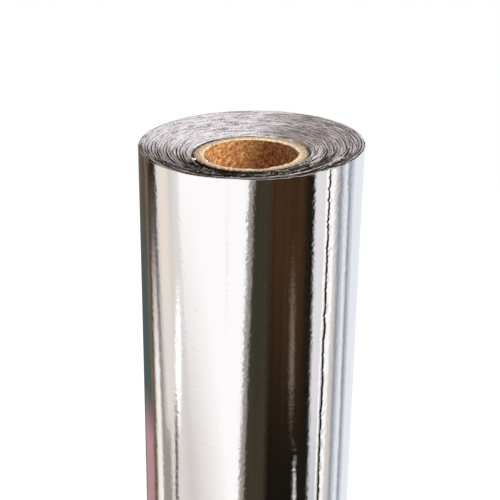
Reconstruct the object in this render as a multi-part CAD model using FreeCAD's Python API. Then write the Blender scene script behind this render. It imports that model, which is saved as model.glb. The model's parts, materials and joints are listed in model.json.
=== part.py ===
# Roll of aluminium foil on a cardboard core tube, standing on its end.
# Millimetres, +Z up along the roll, origin at the centre of the core's lower end.
# The core is a plain tube. The wound foil is one solid that sits on the core face to face.
# Its turns show on both ends as bundles, each with a proud outer edge. They climb outwards,
# because the roll has telescoped, so the core and the inner turns lie lower than the outer ones.
# The sheet's free end is a small step that runs along the outside of the roll.

import FreeCAD, Part

import math
import os

# Core tube
bore_diameter = 25.4
core_wall = 3.4
core_length = 300.0

# Wound foil
roll_diameter = 62.0
sheet_width = 300.0
telescope = 3.2            # how far the outer turns stand above the core, at both ends
bundle_pitch = 0.85        # thickness of one bundle of turns, as the ends show them
bundle_lip = 0.4           # how far a bundle's outer edge stands above its inner edge
bundle_unevenness = 0.1    # how far a bundle may stand out of the even climb
bundle_turn = 2.4          # radians of a sine wave from one bundle to the next, for that unevenness

# Free end of the sheet
tail_step = 0.3            # height of the step that the free end makes
tail_angle = -49.0         # where it lies, in degrees about the axis from +X; the higher side follows it

# Worked out from the sizes above
bore_radius = bore_diameter / 2
core_radius = bore_radius + core_wall
roll_radius = roll_diameter / 2
bundle_count = max(2, round((roll_radius - core_radius) / bundle_pitch))
bundle_thickness = (roll_radius - core_radius) / bundle_count

full_turn = 360
axis = FreeCAD.Vector(0, 0, 1)
origin = FreeCAD.Vector(0, 0, 0)


def point(x, y, z=0.0):
    return FreeCAD.Vector(x, y, z)


def bundle_rise(index):
    """Height of a bundle's inner edge above the core's end. The first and last lie on the even climb."""
    last = bundle_count - 1
    climb = (telescope - bundle_lip) * index / last
    if index in (0, last):
        return climb
    return climb + bundle_unevenness * math.sin(bundle_turn * index)


def end_line(base_height):
    """The winding's end from the core outwards: each bundle slants up to its lip, then drops to the next."""
    points = []
    for index in range(bundle_count):
        inner = core_radius + index * bundle_thickness
        height = base_height + bundle_rise(index)
        points.append(point(inner, 0, height))
        points.append(point(inner + bundle_thickness, 0, height + bundle_lip))
    return points


def ringed_winding():
    """The winding with both its ends, before the free end of the sheet is cut."""
    lower = end_line(0.0)
    upper = end_line(sheet_width)
    section = Part.makePolygon(lower + upper[::-1] + lower[:1])
    return Part.Face(section).revolve(origin, axis, full_turn)


def spiral_column():
    """A column round the roll: two half circles, each a little smaller than the last, then the step."""
    low = roll_radius - tail_step
    middle = roll_radius - tail_step / 2
    start = point(roll_radius, 0)
    across = point(-middle, 0)
    end = point(low, 0)
    first_top = point((roll_radius - middle) / 2, (roll_radius + middle) / 2)
    second_top = point((low - middle) / 2, -(low + middle) / 2)
    outline = Part.Wire(
        [
            Part.Arc(start, first_top, across).toShape(),
            Part.Arc(across, second_top, end).toShape(),
            Part.LineSegment(end, start).toShape(),
        ]
    )
    column = Part.Face(outline).extrude(axis * (sheet_width + telescope))
    column.rotate(origin, axis, tail_angle)
    return column


def wound_foil():
    return ringed_winding().common(spiral_column()).Solids[0]


def core_tube():
    outside = Part.makeCylinder(core_radius, core_length)
    bore = Part.makeCylinder(bore_radius, core_length)
    return outside.cut(bore).Solids[0]


def main():
    os.makedirs("parts", exist_ok=True)
    for name, make in {"wound_foil": wound_foil, "core_tube": core_tube}.items():
        solid = make()
        solid.exportStep(os.path.join("parts", name + ".step"))
        box = solid.BoundBox
        print(f"{name}: {solid.Volume:.0f} mm3, z {box.ZMin:.2f} to {box.ZMax:.2f}, valid {solid.isValid()}")


main()
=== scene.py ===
import json
import math

import bmesh
import bpy
import numpy as np
from mathutils import Matrix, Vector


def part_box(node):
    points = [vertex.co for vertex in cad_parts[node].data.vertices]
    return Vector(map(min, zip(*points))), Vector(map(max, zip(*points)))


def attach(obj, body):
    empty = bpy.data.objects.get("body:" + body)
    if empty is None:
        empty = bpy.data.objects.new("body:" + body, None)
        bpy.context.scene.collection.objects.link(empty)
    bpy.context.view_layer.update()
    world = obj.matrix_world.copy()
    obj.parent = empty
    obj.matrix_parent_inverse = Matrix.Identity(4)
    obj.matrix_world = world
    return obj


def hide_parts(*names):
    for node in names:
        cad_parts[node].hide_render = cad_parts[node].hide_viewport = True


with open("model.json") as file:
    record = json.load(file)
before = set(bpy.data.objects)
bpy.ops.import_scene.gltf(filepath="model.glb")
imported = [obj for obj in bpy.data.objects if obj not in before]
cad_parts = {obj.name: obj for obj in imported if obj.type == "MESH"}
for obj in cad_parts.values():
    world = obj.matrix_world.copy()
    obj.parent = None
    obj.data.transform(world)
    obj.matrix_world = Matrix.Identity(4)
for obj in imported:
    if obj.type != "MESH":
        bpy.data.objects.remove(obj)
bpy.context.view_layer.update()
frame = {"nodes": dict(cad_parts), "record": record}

# Roll of bright aluminium foil on a cardboard core, standing on its end.
# The frame is in metres. Sizes in the dictionaries are millimetres, and mm turns them into metres.

mm = 0.001
fullTurn = 2 * math.pi


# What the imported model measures

def nodeRadii(node):
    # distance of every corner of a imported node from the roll's axis
    mesh = frame["nodes"][node].data
    corners = np.zeros(len(mesh.vertices) * 3)
    mesh.vertices.foreach_get("co", corners)
    return np.hypot(corners[0::3], corners[1::3])


roll = {
    "bore": frame["record"]["mounts"][0]["dims"]["r_mm"] * mm,
    "core": float(nodeRadii("core_tube").max()),
    "rim": float(nodeRadii("wound_foil").max()),
    "coreTop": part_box("core_tube")[1].z,
    "rimTop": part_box("wound_foil")[1].z,
    "tailStep": 0.3 * mm,      # how far the free end of the sheet stands above the turn under it
    "tailAngle": math.radians(-48.1),
    "endSkew": 0.021,          # the top end leans: millimetres of height for each millimetre towards +X
}
roll["telescope"] = roll["rimTop"] - roll["coreTop"]
print("frame read: rim", round(roll["rim"] / mm, 2), "mm, core", round(roll["core"] / mm, 2), "mm")


# Helpers

def linearColour(code):
    # an sRGB hex colour as linear red, green, blue and alpha
    channels = [int(code[i:i + 2], 16) / 255 for i in (1, 3, 5)]
    return [c / 12.92 if c <= 0.04045 else ((c + 0.055) / 1.055) ** 2.4 for c in channels] + [1.0]


def addNode(tree, kind, settings=None, links=None):
    # settings are the node's own options and its sockets' values, links are its input sockets' sources
    node = tree.nodes.new(kind)
    for key, value in (settings or {}).items():
        if isinstance(key, str) and hasattr(node, key):
            setattr(node, key, value)
        else:
            node.inputs[key].default_value = value
    for key, source in (links or {}).items():
        tree.links.new(source, node.inputs[key])
    return node


def newMaterial(name):
    material = bpy.data.materials.new(name)
    material.use_nodes = True
    material.node_tree.nodes.clear()
    return material, material.node_tree


def ramp(tree, source, stops):
    # a colour ramp through (place, hex colour) stops
    node = addNode(tree, "ShaderNodeValToRGB", links={"Fac": source})
    elements = node.color_ramp.elements
    while len(elements) < len(stops):
        elements.new(1.0)
    for element, (place, code) in zip(elements, stops):
        element.position = place
        element.color = linearColour(code)
    return node.outputs["Color"]


def addMath(tree, operation, *values):
    # each value is a number or another node's output
    node = addNode(tree, "ShaderNodeMath", {"operation": operation})
    for socket, value in zip(node.inputs, values):
        if isinstance(value, float):
            socket.default_value = value
        else:
            tree.links.new(value, socket)
    return node.outputs[0]


def addRange(tree, value, low, high, newLow=0.0, newHigh=1.0):
    # turns low to high into newLow to newHigh, and holds what lies beyond at these
    node = addNode(tree, "ShaderNodeMapRange", {
        "From Min": low, "From Max": high, "To Min": newLow, "To Max": newHigh,
    }, {"Value": value})
    return node.outputs[0]


def addNoise(tree, place, scale, detail=2.0, roughness=0.5):
    # cloudy noise from 0 to 1, whose largest blobs are 1 / scale metres wide
    settings = {"Scale": scale, "Detail": detail, "Roughness": roughness}
    return addNode(tree, "ShaderNodeTexNoise", settings, {"Vector": place}).outputs["Fac"]


def addBump(tree, height, strength, depth):
    # relief from a pattern, depth in millimetres
    settings = {"Strength": strength, "Distance": depth * mm}
    return addNode(tree, "ShaderNodeBump", settings, {"Height": height}).outputs[0]


def addSurface(tree, settings, links):
    # the material's shader and its output
    shader = addNode(tree, "ShaderNodeBsdfPrincipled", settings, links)
    addNode(tree, "ShaderNodeOutputMaterial", links={"Surface": shader.outputs[0]})


def fromAxis(tree, place):
    # a place's distance from the roll's axis, and the place itself brought down to height 0
    flat = addNode(tree, "ShaderNodeVectorMath", {"operation": "MULTIPLY", 1: (1, 1, 0)}, {0: place}).outputs[0]
    distance = addNode(tree, "ShaderNodeVectorMath", {"operation": "LENGTH"}, {0: flat}).outputs["Value"]
    return distance, flat


def gridFaces(rows, columns, closeRows, closeColumns):
    # corner numbers of the quads between neighbours on a grid, which may close on itself either way
    i = np.arange(rows if closeRows else rows - 1)[:, None]
    j = np.arange(columns if closeColumns else columns - 1)[None, :]
    i2 = (i + 1) % rows
    j2 = (j + 1) % columns
    corners = [i * columns + j, i * columns + j2, i2 * columns + j2, i2 * columns + j]
    return np.stack(corners, axis=-1).reshape(-1, 4)


def meshPiece(name, points, faces, smooth=True):
    # points is any array of places in metres, faces an array of corner numbers, four to a face
    mesh = bpy.data.meshes.new(name)
    flat = points.reshape(-1, 3)
    mesh.vertices.add(len(flat))
    mesh.vertices.foreach_set("co", flat.astype(np.float32).ravel())
    mesh.loops.add(faces.size)
    mesh.loops.foreach_set("vertex_index", faces.astype(np.int32).ravel())
    mesh.polygons.add(len(faces))
    mesh.polygons.foreach_set("loop_start", np.arange(0, faces.size, 4, dtype=np.int32))
    mesh.polygons.foreach_set("use_smooth", np.full(len(faces), smooth))
    mesh.update(calc_edges=True)
    mesh.validate()
    piece = bpy.data.objects.new(name, mesh)
    bpy.context.scene.collection.objects.link(piece)
    return piece


def seamlessWaves(angle, along, seed, count, roundCounts, lengths):
    # sum of sines, each with a whole number of waves round the roll, so that it closes on itself:
    # sin(k * angle + 2 pi * along / length + phase), the long ones strongest, scaled to a spread of one
    draw = np.random.default_rng(seed)
    total = np.zeros(np.broadcast(angle, along).shape)
    for _ in range(count):
        k = draw.integers(roundCounts[0], roundCounts[1] + 1) * draw.choice([-1, 1])
        length = math.exp(draw.uniform(math.log(lengths[0]), math.log(lengths[1])))
        strength = math.sqrt(length / lengths[1])
        total += strength * np.sin(k * angle + fullTurn * along / length + draw.uniform(0, fullTurn))
    return total / total.std()


def onRoll(radius, angle, height):
    # cylinder coordinates to x, y and z
    shape = np.broadcast(radius, angle, height).shape
    x = np.broadcast_to(radius * np.cos(angle), shape)
    y = np.broadcast_to(radius * np.sin(angle), shape)
    return np.stack([x, y, np.broadcast_to(height, shape)], axis=-1)


def leanTop(points, share=1.0):
    # lowers the top end away from +X, by endSkew for each metre, so that nothing rises above the rim
    points[..., 2] += share * roll["endSkew"] * (points[..., 0] - roll["rim"])
    return points


# Camera, where the photograph was taken from

cameraView = {
    "away": 310.1,          # from the roll's axis
    "above": 98.3,          # over the middle of the rim
    "pitchDown": 22.77,     # degrees
    "lean": 0.72,           # degrees
    "lens": 85.7,           # millimetres, on a 36 mm sensor
}


def makeCamera(view):
    pitch = math.radians(view["pitchDown"])
    lean = math.radians(view["lean"])
    right = np.array([1.0, 0.0, 0.0])
    up = np.array([0.0, math.sin(pitch), math.cos(pitch)])
    forward = np.array([0.0, math.cos(pitch), -math.sin(pitch)])
    leaned = math.cos(lean) * right + math.sin(lean) * up
    upright = math.cos(lean) * up - math.sin(lean) * right
    place = np.array([0.0, -view["away"] * mm, 0.0])
    place[2] = roll["rimTop"] - roll["endSkew"] * roll["rim"] + view["above"] * mm
    matrix = Matrix.Identity(4)
    for row in range(3):
        matrix[row] = (leaned[row], upright[row], -forward[row], place[row])
    camera = bpy.data.objects.new("camera", bpy.data.cameras.new("camera"))
    camera.data.lens = view["lens"]
    camera.data.sensor_width = 36
    camera.data.clip_start = 10 * mm
    camera.matrix_world = matrix
    bpy.context.scene.collection.objects.link(camera)
    bpy.context.scene.camera = camera


makeCamera(cameraView)
print("camera placed")


# The turns of foil: both dished ends, and the plain outside that the last turn covers

turns = {
    "bundles": 17,
    "lip": 0.2,              # a bundle's outer edge above its inner edge
    "uneven": 0.07,          # spread of the bundles' heights
    "wave": 0.025,           # spread of each bundle's own waves round the roll
    "gapDepth": 0.3,
    "gapStrength": (0.45, 1.0),     # each gap's share of its depth and of its painted shade is drawn between these
    "gapInside": 0.13,       # a gap's width on the inner bundle's side, as a share of a bundle
    "gapOutside": 0.2,       # and on the outer bundle's side
    "gapSteep": 2.5,         # how many times steeper the groove is on the inner bundle's side
    "gapSpread": 1.2,        # how much more the painted shade spreads there, on the camera's side
    "edgeStep": 0.012,       # spread between neighbouring rows of foil edges
    "wander": 0.13,          # how far the rings wander from round, in bundles
    "nicks": 150,
    "nickDepth": 0.22,
    "nickLength": (0.4, 2.6),       # half of it, along the turns
    "nickWidth": (0.15, 0.55),      # half of it, across them
    "sunk": 0.28,            # how far the innermost turns have sunk on the camera's side
    "sunkReach": 0.5,        # how far out that reaches, as a share of the winding
    "sunkPaintedShade": 0.8,         # how much painted shade they get there
    "raised": 0.75,          # how far the innermost turns stand up towards +X
    "raisedBack": 0.15,      # the share of it at the back
    "raisedReach": 0.2,      # how far out that reaches, as a share of the winding
    "outerPaintedShade": 0.85,       # how much painted shade the outermost turns get on the camera's side
    "outerReach": 0.25,      # how far in that reaches, as a share of the winding
    "coreGap": 0.2,          # between the innermost turn and the core
    "endClear": 0.02,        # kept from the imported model's two ends
    "topRows": 171,
    "bottomRows": 61,
    "columns": 400,
}


def cameraSide(angle, turned):
    # 1 on the camera's side, turned so many radians from it towards -X, and 0 from a quarter turn away
    return np.clip(-np.sin(angle + turned), 0, 1)


def endRelief(share, angle, seed):
    # height of an end face over its even slope, for share 0 at the core to 1 at the rim.
    # phase is the place within a bundle: lip * (phase - 1/2), less a gap exp(-(distance / width)^2) at its border,
    # plus the bundle's own height and waves, the steps between foil edges, and nicks exp(-u^2 - v^2).
    # The innermost turns sink on the camera's side and rise towards +X, by exp(-(share / reach)^2).
    # The second result is painted shade, how dark a place is drawn: exp(-(distance / width)^6) in the gaps, and no
    # less than so much where the innermost turns have sunk, and where the outermost ones stand apart on the
    # camera's side
    draw = np.random.default_rng(seed)
    size = turns
    front = cameraSide(angle, 0.25) ** 0.7
    wander = size["wander"] * seamlessWaves(angle, share, seed + 1, 14, (1, 9), (0.15, 1.5))
    ring = share * size["bundles"] + wander * np.sin(math.pi * share)
    index = np.clip(np.floor(ring), 0, size["bundles"] - 1).astype(int)
    phase = ring - index
    inside = phase > 0.5
    border = np.where(inside, (1 - phase) / size["gapInside"], phase / size["gapOutside"])
    heights = draw.normal(0, size["uneven"], size["bundles"])
    gapStrength = draw.uniform(*size["gapStrength"], size["bundles"])
    opened = 0.75 + 0.35 * seamlessWaves(angle, index * 3.1, seed + 3, 12, (2, 15), (2.0, 30.0))
    strength = gapStrength[index] * np.clip(opened, 0.1, 1.4)
    relief = size["lip"] * (phase - 0.5) + heights[index]
    relief += size["wave"] * seamlessWaves(angle, index * 7.3, seed + 2, 18, (2, 26), (3.0, 60.0))
    relief -= size["gapDepth"] * strength * np.exp(-(border * np.where(inside, size["gapSteep"], 1)) ** 2)
    sunk = np.exp(-(share / size["sunkReach"]) ** 2) * front
    relief -= size["sunk"] * sunk
    raised = np.clip(np.cos(angle + 0.4), 0, 1) ** 1.3 + size["raisedBack"] * np.clip(np.sin(angle), 0, 1) ** 0.5
    relief += size["raised"] * raised * np.exp(-(share / size["raisedReach"]) ** 2)
    rows = draw.normal(0, size["edgeStep"], share.shape)
    relief += rows * (0.7 + 0.3 * seamlessWaves(angle, share * 9.0, seed + 4, 10, (1, 30), (0.2, 2.0)))
    for _ in range(size["nicks"]):
        at = draw.uniform(0, 1)
        turned = draw.uniform(0, fullTurn)
        radius = roll["core"] + at * (roll["rim"] - roll["core"])
        width = draw.uniform(*size["nickLength"]) * mm / radius
        depth = size["nickDepth"] * draw.uniform(0.3, 1.0) * draw.choice([-1, -1, 1])
        across = (share - at) * (roll["rim"] - roll["core"]) / (draw.uniform(*size["nickWidth"]) * mm)
        gone = (angle - turned + math.pi) % fullTurn - math.pi
        relief += depth * np.exp(-(gone / width) ** 2 - across ** 2)

    # painted shade in the gaps, darkest on the camera's side and towards +X; next to the core it fades elsewhere
    shade = np.where(inside, border / (1 + size["gapSpread"] * front), border)
    gap = strength * np.exp(-shade ** 6) * (0.7 + 0.3 * np.cos(angle) + 0.9 * front)
    gap *= np.clip(ring / 0.5 + 3 * front - 1.5, 0.2, 1)
    # painted shade, no less than so much where the outermost turns stand apart on the camera's side and where the
    # innermost turns have sunk
    outermost = cameraSide(angle, 0.45) * np.exp(-((1 - share) / size["outerReach"]) ** 2)
    gap = np.maximum(gap, size["sunkPaintedShade"] * sunk * (0.75 + 0.25 * opened))
    gap = np.maximum(gap, size["outerPaintedShade"] * outermost * opened)
    return relief * mm, gap


def turnRadius(angle):
    # outside of the turns under the last one, from the free edge round: rim - step below the sheet's own end,
    # easing to the spiral rim - step * gone / full turn past it, all less the sheet,
    # and pressed in at the free edge by exp(-(distance / reach)^2)
    size = lastTurn
    gone = (angle - roll["tailAngle"]) % fullTurn
    under = np.clip((gone - size["overlap"]) / size["easeOff"], 0, 1)
    under = under * under * (3 - 2 * under)
    spiral = roll["tailStep"] * gone / fullTurn
    short = np.minimum(gone, fullTurn - gone) * roll["rim"] / (size["underReach"] * mm)
    pressed = size["underPressed"] * size["pressed"] * mm * np.exp(-short ** 2)
    sheet = size["sheet"] * mm * size["sheetRoom"]
    return roll["rim"] - roll["tailStep"] * (1 - under) - spiral * under - sheet - pressed


def makeTurns():
    size = turns
    high = roll["rimTop"]
    clear = size["endClear"] * mm
    angle = np.linspace(0, fullTurn, size["columns"], endpoint=False)[None, :]
    outer = turnRadius(angle)
    # the innermost turn stands off the core most at the back
    standOff = 0.6 + 0.7 * np.sin(angle) + 0.35 * seamlessWaves(angle, 0.0, 5, 9, (1, 11), (1.0, 2.0))
    inner = roll["core"] + size["coreGap"] * mm * np.clip(standOff, 0.1, 3)
    drop = roll["telescope"]

    def endFace(share, base, seed):
        radius = inner + share * (outer - inner)
        relief, gap = endRelief(share, angle, seed)
        return radius, base + drop * (share - 1) + relief, gap

    shareUp = np.linspace(0, 1, size["bottomRows"])[:, None]
    shareDown = np.linspace(1, 0, size["topRows"])[:, None]
    radiusLow, heightLow, gapLow = endFace(shareUp, drop, 40)
    radiusTop, heightTop, gapTop = endFace(shareDown, high, 20)
    top = leanTop(onRoll(radiusTop, angle, np.minimum(heightTop, high - clear)))
    bottom = onRoll(radiusLow, angle, np.maximum(heightLow, clear))
    # two rows next to the rims keep the wall between them flat
    hem = [0, 0, lastTurn["hem"] * mm]
    points = np.concatenate([bottom, bottom[-1:] + hem, top[:1] - hem, top], axis=0)
    noPaintedShade = np.zeros((2, size["columns"]))
    faces = gridFaces(len(points), size["columns"], True, True)
    piece = meshPiece("foil_turns", points, faces)
    # painted shade at each corner, darkest in the gaps between bundles, for the finish
    depth = piece.data.attributes.new("gap", "FLOAT", "POINT")
    depth.data.foreach_set("value", np.concatenate([gapLow, noPaintedShade, gapTop]).astype(np.float32).ravel())
    rows = np.repeat(np.arange(len(points)), size["columns"])
    outside = (rows >= size["bottomRows"] - 1) & (rows < size["bottomRows"] + 2)
    piece.data.materials.append(cutFoilEdges())
    piece.data.materials.append(brightFoil())
    piece.data.polygons.foreach_set("material_index", outside.astype(np.int32))
    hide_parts("wound_foil")
    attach(piece, "root")
    print("turns of foil made:", len(faces) * 2, "triangles")


# The last turn of foil, with its free edge

lastTurn = {
    "sheet": 0.12,            # thicker than real foil, so that the edge shows
    "sheetRoom": 1.15,        # sheets between the turn's outside and the turns under it
    "overlap": 0.35,          # radians that the turn runs on under its own free end
    "easeOff": 0.9,           # radians past that, over which the turns under it come up to its inside
    "hem": 0.03,              # from the cut edges to the nearest row of corners
    "seamHem": 0.004,         # the same where the free edge's strip and the wall meet
    "edgeStrip": 2.5,         # width of the strip along the free edge that has close rows
    "columns": 396,
    "rows": 102,
    "fineTop": 110,           # the stretch below the rim with the closest rows
    "fineShare": 0.72,        # the share of the rows in it
    "swell": 0.013,           # spread of the long waves in the wall
    "swellRoom": 3.6,         # how far they keep the wall inside the rim, in spreads
    "crease": 0.0012,         # spread of the short ones
    "rimRoom": 0.005,         # kept from the rim everywhere
    "rimCurl": 0.012,         # how much the top edge wavers in and out
    "rimWave": 0.07,          # how much it wavers up and down
    "rimDrop": 0.16,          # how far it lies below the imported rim
    "rimReach": 9,            # how far down these reach
    "tailWander": 0.1,        # how far the free edge wavers
    "tailReach": 0.1,         # radians, how far on that reaches
    "bend": -0.02,            # how far the free edge bends in
    "bendReach": 0.05,        # radians
    "pressed": 0.15,          # how far the turn under the free edge is pressed in
    "pressedReach": 0.9,
    "pressedLess": 0.75,      # how much less of that there is at the rim
    "pressedBelow": 25,       # how far down it is less
    "underPressed": 1.3,      # how much further the turns under that are pressed in
    "underReach": 3,
    "toothPitch": 1.5,        # of the teeth that the cutter leaves in the free edge
    "toothDepth": 0.65,
    "toothReach": 0.35,       # how far in from the edge they change the sheet
    "toothLift": 0.09,        # spread of how far they are bent out
    "dentAngle": -116.9,      # degrees, of a small dent in the wall
    "dentBelow": 38.5,        # below the rim
    "dentWidth": 0.9,
    "dentHeight": 0.3,
    "dentDepth": 0.045,
}


def dentTurn():
    return (math.radians(lastTurn["dentAngle"]) - roll["tailAngle"]) % fullTurn


def dentHeight():
    return roll["rimTop"] - lastTurn["dentBelow"] * mm


def sheetPlaces(gone, heights):
    # the sheet's outside, gone radians on from the free edge.
    # radius: rim - step * gone / full turn + long and short waves + bend * exp(-gone / reach) - dent,
    # less what is pressed in under the free edge;
    # the cut's teeth, blunt triangles of random depth, reach out past the edge
    # and die away as exp(-distance / reach)
    size = lastTurn
    draw = np.random.default_rng(66)
    teeth = 1000              # how many are drawn, which is more than the edge holds
    top = roll["rimTop"]
    angle = gone + roll["tailAngle"]
    nearRim = np.exp(-(top - heights) / (size["rimReach"] * mm))
    swell = size["swell"] * seamlessWaves(angle, heights / mm, 61, 40, (1, 7), (40.0, 260.0))
    crease = size["crease"] * seamlessWaves(angle, heights / mm, 62, 60, (6, 30), (4.0, 22.0))
    curl = size["rimCurl"] * seamlessWaves(angle, heights / mm, 63, 30, (4, 34), (5.0, 30.0)) * nearRim
    across = (gone - dentTurn()) * roll["rim"] / (size["dentWidth"] * mm)
    upwards = (heights - dentHeight()) / (size["dentHeight"] * mm)
    dent = size["dentDepth"] * np.exp(-across ** 2 - (upwards + 0.5 * across) ** 2)
    radius = roll["rim"] - size["swellRoom"] * size["swell"] * mm - roll["tailStep"] * gone / fullTurn
    radius = radius + (swell + crease + curl - dent + size["bend"] * np.exp(-gone / size["bendReach"])) * mm
    tooth = heights / (size["toothPitch"] * mm)
    index = np.floor(tooth).astype(int)
    reach = draw.uniform(0.2, 1.0, teeth)[index] * np.minimum(1.6 - 3.2 * np.abs(tooth - index - 0.5), 1)
    nearEdge = np.exp(-gone * roll["rim"] / (size["toothReach"] * mm))
    short = np.maximum(fullTurn - gone, 0) * roll["rim"] / (size["pressedReach"] * mm)
    less = size["pressedLess"] * np.exp(-(top - heights) / (size["pressedBelow"] * mm))
    radius = radius - size["pressed"] * (1 - less) * mm * np.exp(-short ** 2)
    radius = radius + size["toothLift"] * mm * draw.normal(0, 1, teeth)[index] * reach * nearEdge
    radius = np.minimum(radius, roll["rim"] - size["rimRoom"] * mm)
    edge = size["tailWander"] * seamlessWaves(0.0, heights / mm, 64, 30, (1, 2), (1.2, 40.0))
    edge = edge * np.exp(-gone / size["tailReach"])
    angle = angle + (edge - size["toothDepth"] * reach * nearEdge) * mm / roll["rim"]
    rimWave = size["rimWave"] * seamlessWaves(angle, 0.0, 65, 30, (3, 60), (1.0, 2.0)) - size["rimDrop"]
    split = top - size["fineTop"] * mm
    share = np.clip((heights - split) / (top - split), 0, 1)
    return leanTop(onRoll(radius, angle, heights + rimWave * mm * nearRim), share)


def sheetPiece(name, gone, heights):
    # hems are rows and columns next to the cut edges, which keep the wall flat up to them
    hem, seamHem = lastTurn["hem"] * mm, lastTurn["seamHem"] * mm
    heights = np.sort(np.append(heights, [heights.min() + hem, heights.max() - hem]))[:, None]
    first = hem if gone.min() == 0 else seamHem
    hems = [gone.min() + first / roll["rim"], gone.max() - seamHem / roll["rim"]]
    gone = np.sort(np.append(gone, hems))[None, :]
    points = sheetPlaces(gone, heights)
    faces = gridFaces(*points.shape[:2], False, False)
    piece = meshPiece(name, points, faces)
    piece.data.materials.append(brightFoil())
    wall = piece.modifiers.new("sheet", "SOLIDIFY")
    wall.thickness = lastTurn["sheet"] * mm
    wall.offset = -1
    wall.use_even_offset = False
    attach(piece, "root")
    print(name, "made:", len(faces) * 4, "triangles")


def makeLastTurn():
    size = lastTurn
    low, top = roll["telescope"], roll["rimTop"]
    seam = size["edgeStrip"] * mm / roll["rim"]
    # rows close together near the rim, wider apart below, and more of both at the dent
    fineRows = int(size["rows"] * size["fineShare"])
    split = top - size["fineTop"] * mm
    heights = np.concatenate([
        np.linspace(low, split, size["rows"] - fineRows, endpoint=False),
        np.linspace(split, top, fineRows),
        dentHeight() + np.linspace(-3, 3, 9) * size["dentHeight"] * mm,
    ])
    dentColumns = dentTurn() + np.linspace(-2, 2, 9) * size["dentWidth"] * mm / roll["rim"]
    around = np.linspace(seam, fullTurn + size["overlap"], size["columns"])
    sheetPiece("last_turn", np.append(around, dentColumns), heights)
    # the free edge, with four rows to a tooth
    edgeRows = int((top - low) / (size["toothPitch"] * mm / 4))
    sheetPiece("free_edge", np.linspace(0, 1, 9) ** 2 * seam, np.linspace(low, top, edgeRows))


# Foil finishes

def brightFoil():
    # rolled foil, bright side out: a near mirror, broken up by fine ripples across the sheet
    if "brightFoil" in bpy.data.materials:
        return bpy.data.materials["brightFoil"]
    material, tree = newMaterial("brightFoil")
    place = addNode(tree, "ShaderNodeTexCoord").outputs["Object"]
    # ripples a millimetre high and half as wide again
    fine = addNode(tree, "ShaderNodeMapping", {"Scale": (650, 650, 1000)}, {"Vector": place}).outputs[0]
    ripple = addNoise(tree, fine, 1.0, 3.0, 0.6)
    addSurface(tree, {"Base Color": linearColour("#F4F3F3"), "Metallic": 1.0, "Roughness": 0.07}, {
        "Normal": addBump(tree, ripple, 1.0, 0.038),
    })
    return material


def cutFoilEdges():
    # hundreds of slit foil edges side by side: grey metal with long thin arcs, and painted shade, near black, where
    # turns stand apart
    material, tree = newMaterial("cutFoilEdges")
    place = addNode(tree, "ShaderNodeTexCoord").outputs["Object"]
    # the arcs waver by a tenth of a millimetre, every 2 mm or so
    waver = addMath(tree, "MULTIPLY", addNoise(tree, place, 450.0), 0.35 * mm)
    distance, _ = fromAxis(tree, place)
    wavered = addMath(tree, "ADD", distance, waver)
    # arcs 0.3 mm wide, drawn coarser than single foil edges, and half a centimetre or so long
    along = addNode(tree, "ShaderNodeMapping", {"Scale": (190, 190, 0)}, {"Vector": place})
    parts = addNode(tree, "ShaderNodeSeparateXYZ", links={0: along.outputs[0]})
    arcPlace = addNode(tree, "ShaderNodeCombineXYZ", links={
        "X": parts.outputs["X"], "Y": parts.outputs["Y"], "Z": addMath(tree, "MULTIPLY", wavered, 3200.0),
    })
    arc = addNoise(tree, arcPlace.outputs[0], 1.0, 3.0, 0.6)
    # specks a third of a millimetre across, where edges are bent over
    specks = addRange(tree, addNoise(tree, place, 2800.0, 1.0), 0.0, 1.0, -0.3, 0.3)
    edges = addMath(tree, "ADD", arc, specks)
    colour = ramp(tree, edges, [(0.34, "#807379"), (0.43, "#D2C7CB"), (0.54, "#EEE9ED"), (0.64, "#FFFDFE")])
    # painted shade, read from the corners of the turns
    gap = addNode(tree, "ShaderNodeAttribute", {"attribute_name": "gap"})
    deep = addRange(tree, gap.outputs["Fac"], 0.16, 0.55)
    # painted shade from the gaps, lifted where single edges stand proud of them and catch the light, mixes the
    # edges towards near black
    shaded = addMath(tree, "MULTIPLY", deep, addRange(tree, edges, 0.58, 0.74, 1.0, 0.1))
    dark = addNode(tree, "ShaderNodeMix", {"data_type": "RGBA", 7: linearColour("#1A120B")}, {
        0: shaded, 6: colour,
    })
    # painted shade for light trapped between the turns: the gaps are made dark and not metal, so they don't mirror
    # even at a low angle
    addSurface(tree, {"Roughness": 0.27, "Specular IOR Level": 0.0}, {
        "Base Color": dark.outputs[2],
        "Metallic": addMath(tree, "SUBTRACT", 1.0, shaded),
        "Normal": addBump(tree, edges, 0.7, 0.09),
    })
    return material


# A scrap of torn foil, curled up between the core and the innermost turn

scrap = {
    "angle": -164.5,          # degrees round the roll
    "away": 16.2,             # from the axis
    "above": 0.05,            # over the core's end
    "wide": 0.65,             # half the curl's width along the core
    "deep": 0.95,
    "thick": 0.27,
    "tall": 0.42,
    "curl": 0.15,             # how far its ends and middle bend up
    "taper": 0.35,            # how thick its ends are, as a share of its middle
    "rows": 25,
    "columns": 12,
}


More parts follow.
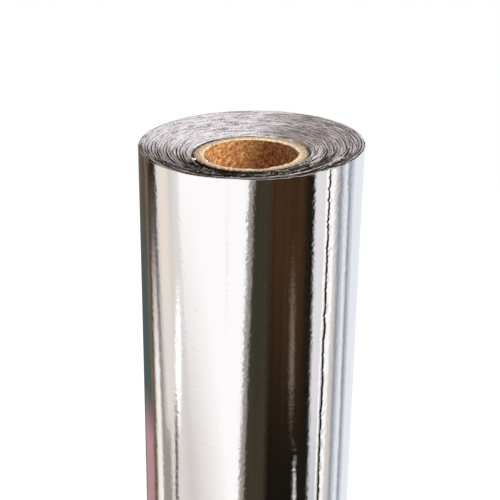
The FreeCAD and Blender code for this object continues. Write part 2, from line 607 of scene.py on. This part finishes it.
def makeScrap():
    # a bar bent into a U: middle line (wide * cos u, -deep * sin u) for u from 0 to pi, thinner at its ends,
    # with an oval section (thick * cos v, tall * sin v)
    size = scrap
    rows, columns = size["rows"], size["columns"]
    u = np.linspace(0, math.pi, rows)[:, None]
    v = np.linspace(0, fullTurn, columns, endpoint=False)[None, :]
    taper = size["taper"] + (1 - size["taper"]) * np.sin(u)
    side = size["wide"] * np.cos(u) + size["thick"] * taper * np.cos(v) * np.cos(u)
    front = -size["deep"] * np.sin(u) - size["thick"] * taper * np.cos(v) * np.sin(u)
    up = size["tall"] * taper * np.sin(v) + size["curl"] * np.cos(3 * u)
    turned = math.radians(size["angle"])
    x = size["away"] * math.cos(turned) + side
    y = size["away"] * math.sin(turned) + front
    base = roll["coreTop"] + size["above"] * mm
    points = leanTop(np.stack(np.broadcast_arrays(x * mm, y * mm, base + up * mm), axis=-1))
    faces = gridFaces(rows, columns, False, True)
    piece = meshPiece("foil_scrap", points, faces)
    # a flat face closes each end of the bar
    ends = [range(columns)[::-1], range((rows - 1) * columns, rows * columns)]
    shape = bmesh.new()
    shape.from_mesh(piece.data)
    shape.verts.ensure_lookup_table()
    for end in ends:
        shape.faces.new([shape.verts[i] for i in end])
    bmesh.ops.recalc_face_normals(shape, faces=shape.faces)
    shape.to_mesh(piece.data)
    shape.free()
    piece.data.materials.append(tornFoil())
    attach(piece, "root")
    print("scrap made:", len(faces) * 2 + 2 * (columns - 2), "triangles")


def tornFoil():
    # crumpled foil, which scatters the light and looks white
    material, tree = newMaterial("tornFoil")
    place = addNode(tree, "ShaderNodeTexCoord").outputs["Object"]
    addSurface(tree, {"Base Color": linearColour("#FFFEFD"), "Metallic": 0.3, "Roughness": 0.5}, {
        "Normal": addBump(tree, addNoise(tree, place, 2500.0), 0.6, 0.05),
    })
    return material


makeTurns()
makeLastTurn()
makeScrap()


# The cardboard core

core = {
    "plies": 7,
    "plyStep": 0.05,          # how far the plies' edges stand apart
    "rough": 0.16,            # spread of the knife-cut ends
    "grain": 0.03,            # spread of single fibres in them
    "ragged": 0.14,           # spread of the bore's lip
    "boreWave": 0.03,         # spread of the bore's wall
    "lipRound": 0.2,          # rounding of the cut's edges
    "closeRows": 0.8,         # from an end to the first row of corners in the walls
    "columns": 360,
    "endRows": 22,
    "wallRows": 60,
}


def makeCore():
    size = core
    angle = np.linspace(0, fullTurn, size["columns"], endpoint=False)[None, :]
    top = roll["coreTop"]
    inner, outer = roll["bore"], roll["core"]

    def endRows(share, seed):
        # how far the cut end lies below its edge, between bore (share 0) and outside (share 1):
        # edges rounded by (1 - distance / rounding)^2, plies as sin(2 pi * plies * share), and torn fibres
        draw = np.random.default_rng(seed)
        edge = np.minimum(share, 1 - share) * (outer - inner)
        rounding = size["lipRound"] * mm
        sunk = rounding * np.clip(1 - edge / rounding, 0, 1) ** 2
        ply = size["plyStep"] * np.sin(fullTurn * share * size["plies"])
        torn = size["rough"] * seamlessWaves(angle, share * 3.0, seed, 60, (1, 70), (0.4, 6.0))
        grain = draw.normal(0, size["grain"], (len(share), size["columns"]))
        return sunk + np.abs(torn + grain + ply) * mm

    share = np.linspace(0, 1, size["endRows"])[:, None]
    # the bore's lip is torn outwards in places, in coarse bites with fine teeth
    coarse = seamlessWaves(angle, 0.0, 91, 24, (2, 17), (1.0, 2.0))
    fine = seamlessWaves(angle, 0.0, 92, 50, (18, 110), (1.0, 2.0))
    wander = size["ragged"] * mm * np.minimum(0.6 * coarse + 0.5 * np.abs(fine) * coarse - 0.9, 0)
    radius = inner + share * (outer - inner) - wander * (1 - share)
    topEnd = leanTop(onRoll(radius, angle, top - endRows(share, 71)))
    lowEnd = onRoll(radius[::-1], angle, endRows(share, 72)[::-1])
    # heights from the top down, close together near both ends
    deep = np.geomspace(size["closeRows"] * mm, top / 2, size["wallRows"] // 2)
    outsideHeights = np.concatenate([top - deep, deep[-2::-1]])[:, None]
    outside = onRoll(outer, angle, outsideHeights)
    boreHeights = outsideHeights[::-1]
    boreWave = size["boreWave"] * mm * seamlessWaves(angle, boreHeights / mm, 73, 30, (1, 14), (4.0, 60.0))
    inside = onRoll(inner + boreWave, angle, boreHeights)
    points = np.concatenate([topEnd, outside, lowEnd, inside], axis=0)
    faces = gridFaces(len(points), size["columns"], True, True)[:, ::-1]
    piece = meshPiece("core_board", points, faces)
    piece.data.materials.append(cutBoard())
    piece.data.materials.append(kraftLiner())
    rows = np.repeat(np.arange(len(points)), size["columns"])
    firstInside = len(topEnd) + len(outside) + len(lowEnd) - 1
    piece.data.polygons.foreach_set("material_index", (rows >= firstInside).astype(np.int32))
    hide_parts("core_tube")
    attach(piece, "root")
    print("core made:", len(faces) * 2, "triangles")


def cutBoard():
    # knife-cut solid board, cream at the bore's lip and greyed towards the foil: a painted highlight at the lip and
    # painted shade next to the foil
    material, tree = newMaterial("cutBoard")
    place = addNode(tree, "ShaderNodeTexCoord").outputs["Object"]
    # fibres half a millimetre long or so
    fibre = addNoise(tree, place, 1700.0, 4.0, 0.75)
    distance, flat = fromAxis(tree, place)
    # share runs out from the bore, from the painted highlight at the lip to the painted shade next to the foil
    share = addRange(tree, distance, roll["bore"], roll["core"], 0.0, 0.6)
    # painted shade on the outer plies next to the foil, blackest on the camera's side
    side = addNode(tree, "ShaderNodeVectorMath", {"operation": "DOT_PRODUCT", 1: (-0.3, -0.95, 0)}, {0: flat})
    paintedShadeSide = addRange(tree, side.outputs["Value"], 0.2 * roll["core"], 0.95 * roll["core"], 1.0, 1.5)
    torn = addMath(tree, "MULTIPLY_ADD", fibre, 0.8, -0.12)
    # the ramp's dark end is painted shade, reached next to the foil and most on the camera's side
    colour = ramp(tree, addMath(tree, "ADD", torn, addMath(tree, "MULTIPLY", share, paintedShadeSide)), [
        (0.3, "#FFF0D2"), (0.4, "#EEDCC2"), (0.48, "#CDBDAB"),
        (0.74, "#B3A292"), (0.86, "#6E5E4B"), (0.96, "#120E0A"),
    ])
    addSurface(tree, {"Roughness": 0.9}, {"Base Color": colour, "Normal": addBump(tree, fibre, 0.8, 0.15)})
    return material


def kraftLiner():
    # unbleached kraft paper, reddish brown and mottled by its fibres, a millimetre across
    material, tree = newMaterial("kraftLiner")
    place = addNode(tree, "ShaderNodeTexCoord").outputs["Object"]
    mottle = addNoise(tree, place, 950.0, 5.0, 0.75)
    colour = ramp(tree, mottle, [(0.34, "#6E3E22"), (0.5, "#BE8756"), (0.64, "#F2CE9C")])
    addSurface(tree, {"Roughness": 0.85}, {"Base Color": colour, "Normal": addBump(tree, mottle, 0.8, 0.2)})
    return material


makeCore()


# Studio: floor, cloths and cards round the roll that the foil mirrors, world and lamps

studio = {
    "floorHalf": 800,            # mm; the white room shows beyond it
    "floorWhite": (0.68, 0.96),  # the floor's glow near the roll, and far from it
    "roomGlow": 0.2,             # of the room's soft light
    "cardAway": 180,             # from the roll's axis
    "cardNear": 44,              # where their part on the floor starts
    "cardLift": 2,               # its height over the floor
    "liftStep": 0.3,             # more of it for each millimetre that a card stands nearer
    "cardTop": 340,
    "cardLow": 107,              # a card's edges are given at these two heights
    "cardHigh": 242,
    "cardColumns": 40,
    "cardRows": 12,
    "floorRows": 6,
    "foldWidth": 9,              # of the folds in the cloths
    "foldDepth": 0.25,           # how much painted shade and light the folds carry
    "cardGlow": 1.1,             # over 1, for what the foil swallows
    "lampAim": 250,              # height of the place that the lamps are turned to
}

# plain colours of the cloths and cards
paints = {
    "black": "#181510",
    "olive": "#3A352B",
    "brown": "#3F2C1C",
    "fawn": "#7A6C5E",
    "umber": "#54453A",
    "slate": "#4E5957",
    "rose": "#B48A8E",
    "warmGrey": "#98918C",
    "coolGrey": "#9298A0",
    "silver": "#C3C7CC",
    "linen": "#DDD7D3",
    "cream": "#E8DED4",
    "ash": "#CFC8C4",
    "pale": "#DFDEE0",
    "sky": "#E2E7ED",
    "white": "#FCFBFB",
}

# edges are degrees round the roll from the camera's side towards +X, at the low and the high place
cards = {
    "greyStrip": {"from": (-8, -2), "to": (-3, 3), "paint": "warmGrey"},
    "darkCloth": {"from": (-3, 3), "to": (15, 15), "paint": "olive", "folds": 3},
    "darkFold": {"from": (15, 15), "to": (21, 21), "paints": ("olive", "black", "olive", "brown"), "folds": 3,
                 "fade": (130, 230)},
    "blackCloth": {"from": (21, 21), "to": (33, 31), "paints": ("black", "black", "brown", "brown"), "folds": 3,
                   "fade": (130, 230)},
    "brownCloth": {"from": (33, 31), "to": (50, 48), "paints": ("black", "black", "brown", "brown"), "folds": 3,
                   "fade": (120, 200)},
    "brownFold": {"from": (50, 48), "to": (60, 58), "paints": ("black", "black", "brown", "black"), "folds": 3,
                  "fade": (120, 200)},
    "paleFold": {"from": (41, 37), "to": (48, 44), "paint": "fawn", "bottom": 132, "top": 222, "away": 178,
                 "soft": True},
    "blackEdge": {"from": (60, 58), "to": (65.5, 62.5), "paint": "black"},
    "paleCard": {"from": (65.5, 62.5), "to": (78, 78), "paints": ("silver", "silver", "pale", "pale"),
                 "fade": (107, 140)},
    "paleStrip": {"from": (85, 87), "to": (94, 91), "paint": "ash"},
    "coolStrip": {"from": (94, 91), "to": (99.5, 97), "paint": "coolGrey"},
    "silverStrip": {"from": (99.5, 97), "to": (104, 101), "paint": "silver"},
    "skyCard": {"from": (104, 101), "to": (111.5, 107), "paint": "sky"},
    "coolPole": {"from": (111.5, 107), "to": (117.5, 112), "paint": "coolGrey"},
    "silverPole": {"from": (117.5, 112), "to": (122, 118), "paint": "silver"},
    "skyWall": {"from": (122, 118), "to": (156, 156), "paint": "sky"},
    "leftCloth": {"from": (-170, -170), "to": (-120, -128), "paints": ("slate", "slate", "fawn", "umber"),
                  "folds": 6, "fade": (188, 240)},
    "leftEdge": {"from": (-120, -128), "to": (-111, -116), "paints": ("fawn", "umber", "fawn", "brown"),
                 "fade": (107, 240)},
    "roseCloth": {"from": (-150, -150), "to": (-120, -121), "paints": ("rose", "rose", "slate", "slate"),
                  "top": 138, "away": 177, "fade": (114, 134)},
    "leftLine": {"from": (-111, -116), "to": (-100, -109), "paints": ("cream", "white", "black", "black"),
                 "fade": (165, 225)},
    "leftPole": {"from": (-100, -109), "to": (-93, -104), "paints": ("warmGrey", "warmGrey", "black", "umber"),
                 "fade": (150, 240)},
    "leftFoot": {"from": (-94, -94), "to": (-85, -92), "paint": "warmGrey", "bottom": 40, "top": 128, "away": 178},
    "leftSoft": {"from": (-93, -104), "to": (-88, -97), "paints": ("warmGrey", "linen", "linen", "cream")},
    "leftCard": {"from": (-88, -97), "to": (-80, -88), "paints": ("linen", "linen", "cream", "cream")},
    "leftShade": {"from": (-80, -88), "to": (-74, -80), "paints": ("linen", "linen", "cream", "ash")},
    "leftAsh": {"from": (-74, -80), "to": (-56, -72), "paints": ("linen", "ash", "linen", "pale")},
    "softWall": {"from": (-56, -72), "to": (-15, -50), "paints": ("ash", "white", "white", "white")},
    "whiteWall": {"from": (-15, -50), "to": (-8, -2), "paint": "white"},
    "whiteStrip": {"from": (78, 78), "to": (85, 87), "paint": "white"},
    "leftThread": {"from": (-80, -76.5), "to": (-76.6, -73.6), "paint": "black", "top": 146, "away": 177},
    "leftPale": {"from": (-79, -76), "to": (-70, -68), "paint": "white", "glow": 1.8, "bottom": 126, "top": 206,
                 "away": 177, "soft": True},
    "greyThread": {"from": (-21.4, -21.4), "to": (-20.6, -20.6), "paint": "silver", "bottom": 180, "top": 256,
                   "away": 177, "soft": True},
    "brightPole": {"from": (49.3, 39.8), "to": (50, 40.5), "paint": "white", "glow": 3.5, "top": 117, "away": 177},
    "backCloth": {"from": (85, 85), "to": (275, 275), "paints": ("umber", "brown", "fawn", "umber"),
                  "bottom": 294, "top": 345, "away": 230},
    "backBand": {"from": (100, 100), "to": (184, 184), "paints": ("silver", "pale", "silver", "white"),
                 "bottom": 345, "top": 420, "away": 230},
    "backShade": {"from": (184, 184), "to": (265, 265), "paints": ("warmGrey", "fawn", "warmGrey", "fawn"),
                  "bottom": 345, "top": 420, "away": 230},
    "backGrey": {"from": (184, 184), "to": (262, 262), "paints": ("warmGrey", "fawn", "warmGrey", "fawn"),
                 "bottom": 420, "top": 900, "away": 230},
}


def directRays(tree):
    # 1 for what the camera sees straight, mirrored or through glass, and 0 for soft light between surfaces
    path = addNode(tree, "ShaderNodeLightPath").outputs
    seen = addMath(tree, "MAXIMUM", path["Is Camera Ray"], path["Is Glossy Ray"])
    return addMath(tree, "MAXIMUM", seen, path["Is Transmission Ray"])


def makeFloor():
    half = studio["floorHalf"] * mm
    corners = np.array([[-half, -half, 0], [half, -half, 0], [half, half, 0], [-half, half, 0]])
    floor = meshPiece("floor", corners, np.array([[0, 1, 2, 3]]), smooth=False)
    material, tree = newMaterial("paleFloor")
    # the floor's own white grows away from the roll, where less light reaches it
    place = addNode(tree, "ShaderNodeTexCoord").outputs["Object"]
    away = addNode(tree, "ShaderNodeVectorMath", {"operation": "LENGTH"}, {0: place}).outputs["Value"]
    white = addRange(tree, away, 0.15, 0.6, *studio["floorWhite"])
    addSurface(tree, {
        "Base Color": linearColour("#A0A0A0"), "Roughness": 0.9, "Specular IOR Level": 0.0,
        "Emission Color": (1, 1, 1, 1),
    }, {"Emission Strength": addMath(tree, "MULTIPLY", directRays(tree), white)})
    floor.data.materials.append(material)


def cardPaint(name, card):
    # glowing cloth or board of one plain colour, or of four that fade into each other from corner to corner
    material, tree = newMaterial(name)
    strength = card.get("glow", studio["cardGlow"])
    glow = addNode(tree, "ShaderNodeEmission", {"Strength": strength})
    if "paint" in card:
        glow.inputs["Color"].default_value = linearColour(paints[card["paint"]])
    else:
        # lower edge's two ends, then the upper edge's
        corners = [linearColour(paints[paint]) for paint in card["paints"]]
        place = addNode(tree, "ShaderNodeUVMap").outputs[0]
        parts = addNode(tree, "ShaderNodeSeparateXYZ", links={0: place}).outputs
        lower = addNode(tree, "ShaderNodeMix", {"data_type": "RGBA", 6: corners[0], 7: corners[1]}, {0: parts["X"]})
        upper = addNode(tree, "ShaderNodeMix", {"data_type": "RGBA", 6: corners[2], 7: corners[3]}, {0: parts["X"]})
        blend = addNode(tree, "ShaderNodeMix", {"data_type": "RGBA"}, {
            0: parts["Y"], 6: lower.outputs[2], 7: upper.outputs[2],
        })
        tree.links.new(blend.outputs[2], glow.inputs["Color"])
    if "folds" in card:
        # painted shade and light of upright folds, from noise over the cloth's width
        where = addNode(tree, "ShaderNodeTexCoord").outputs["Object"]
        perFold = 1 / (studio["foldWidth"] * mm)
        squeezed = addNode(tree, "ShaderNodeMapping", {
            "Scale": (perFold, perFold, 4.0), "Location": (card["folds"], 0, 0),
        }, {"Vector": where})
        folds = addNoise(tree, squeezed.outputs[0], 1.0)
        darkest = strength * (1 - studio["foldDepth"])
        lightest = strength * (1 + studio["foldDepth"])
        tree.links.new(addRange(tree, folds, 0.3, 0.7, darkest, lightest), glow.inputs["Strength"])
    if card.get("soft"):
        # fades out from the card's middle to its edges
        where = addNode(tree, "ShaderNodeUVMap").outputs[0]
        middle = addNode(tree, "ShaderNodeVectorMath", {
            "operation": "MULTIPLY_ADD", 1: (2, 2, 0), 2: (-1, -1, 0),
        }, {0: where}).outputs[0]
        out = addNode(tree, "ShaderNodeVectorMath", {"operation": "LENGTH"}, {0: middle}).outputs["Value"]
        cover = addRange(tree, out, 1.0, 0.2)
        clear = addNode(tree, "ShaderNodeBsdfTransparent").outputs[0]
        glow = addNode(tree, "ShaderNodeMixShader", links={0: cover, 1: clear, 2: glow.outputs[0]})
    addNode(tree, "ShaderNodeOutputMaterial", links={"Surface": glow.outputs[0]})
    return material


def makeCard(name, card):
    # a card or cloth on part of a circle round the roll, seen only in reflections, with leaning edges
    # and its lower part running on along the floor towards the roll
    away = card.get("away", studio["cardAway"])
    # the nearer card lies higher over the floor, so that no two meet
    onFloor = studio["cardLift"] + studio["liftStep"] * (studio["cardAway"] - away)
    bottom = card.get("bottom", onFloor)
    height = np.linspace(bottom, card.get("top", studio["cardTop"]), studio["cardRows"])
    ring = np.full(studio["cardRows"], away)
    if "bottom" not in card:
        count = studio["floorRows"]
        height = np.concatenate([np.full(count, bottom), height])
        ring = np.concatenate([np.linspace(studio["cardNear"], away, count, endpoint=False), ring])
    height, ring = height[:, None], ring[:, None]
    share = np.linspace(0, 1, studio["cardColumns"])[None, :]
    levels = (studio["cardLow"], studio["cardHigh"])
    left = np.interp(height, levels, card["from"])
    right = np.interp(height, levels, card["to"])
    angle = np.radians(left + share * (right - left)) - math.pi / 2
    points = onRoll(ring * mm, angle, height * mm)
    faces = gridFaces(len(height), studio["cardColumns"], False, False)
    piece = meshPiece(name, points, faces, smooth=False)
    # the fade runs between the two given heights, or over the card's own height where it starts above the floor
    low, high = card.get("fade", (bottom, card["top"]) if "bottom" in card else levels)
    fade = np.clip((height - low) / (high - low), 0, 1)
    spread = np.stack(np.broadcast_arrays(share, fade), axis=-1).reshape(-1, 2)
    layer = piece.data.uv_layers.new(name="fade")
    layer.data.foreach_set("uv", spread[faces.ravel()].astype(np.float32).ravel())
    piece.data.materials.append(cardPaint(name, card))
    piece.visible_camera = False
    piece.visible_diffuse = False
    piece.visible_shadow = False
    piece.visible_transmission = False


def makeWorld():
    world = bpy.data.worlds.new("paleRoom")
    bpy.context.scene.world = world
    world.use_nodes = True
    tree = world.node_tree
    tree.nodes.clear()
    strength = addRange(tree, directRays(tree), 0.0, 1.0, studio["roomGlow"], 1.0)
    sky = addNode(tree, "ShaderNodeBackground", {"Color": (1, 1, 1, 1)}, {"Strength": strength})
    addNode(tree, "ShaderNodeOutputWorld", links={"Surface": sky.outputs[0]})


# places and sizes of the lamps are metres, their power is watts
lamps = {
    "keyLamp": {"place": (1.0, -0.33, 1.15), "size": 0.6, "power": 27, "colour": "#FFF2E0"},
    "fillLamp": {"place": (-0.9, -1.1, 1.4), "size": 1.4, "power": 1.6, "colour": "#FFFFFF"},
}


def makeLamp(name, settings):
    lamp = bpy.data.lights.new(name, "AREA")
    lamp.shape = "DISK"
    lamp.size = settings["size"]
    lamp.energy = settings["power"]
    lamp.color = linearColour(settings["colour"])[:3]
    holder = bpy.data.objects.new(name, lamp)
    place = np.array(settings["place"])
    target = np.array([0.0, 0.0, studio["lampAim"] * mm])
    holder.location = place
    aim = Matrix.Identity(3)
    back = (place - target) / np.linalg.norm(place - target)
    side = np.cross([0.0, 0.0, 1.0], back)
    side /= np.linalg.norm(side)
    up = np.cross(back, side)
    for row in range(3):
        aim[row] = (side[row], up[row], back[row])
    holder.rotation_euler = aim.to_euler()
    holder.visible_glossy = False
    bpy.context.scene.collection.objects.link(holder)


makeFloor()
for name, card in cards.items():
    makeCard(name, card)
makeWorld()
for name, settings in lamps.items():
    makeLamp(name, settings)
bpy.context.scene.view_settings.view_transform = "Standard"
print("studio set")
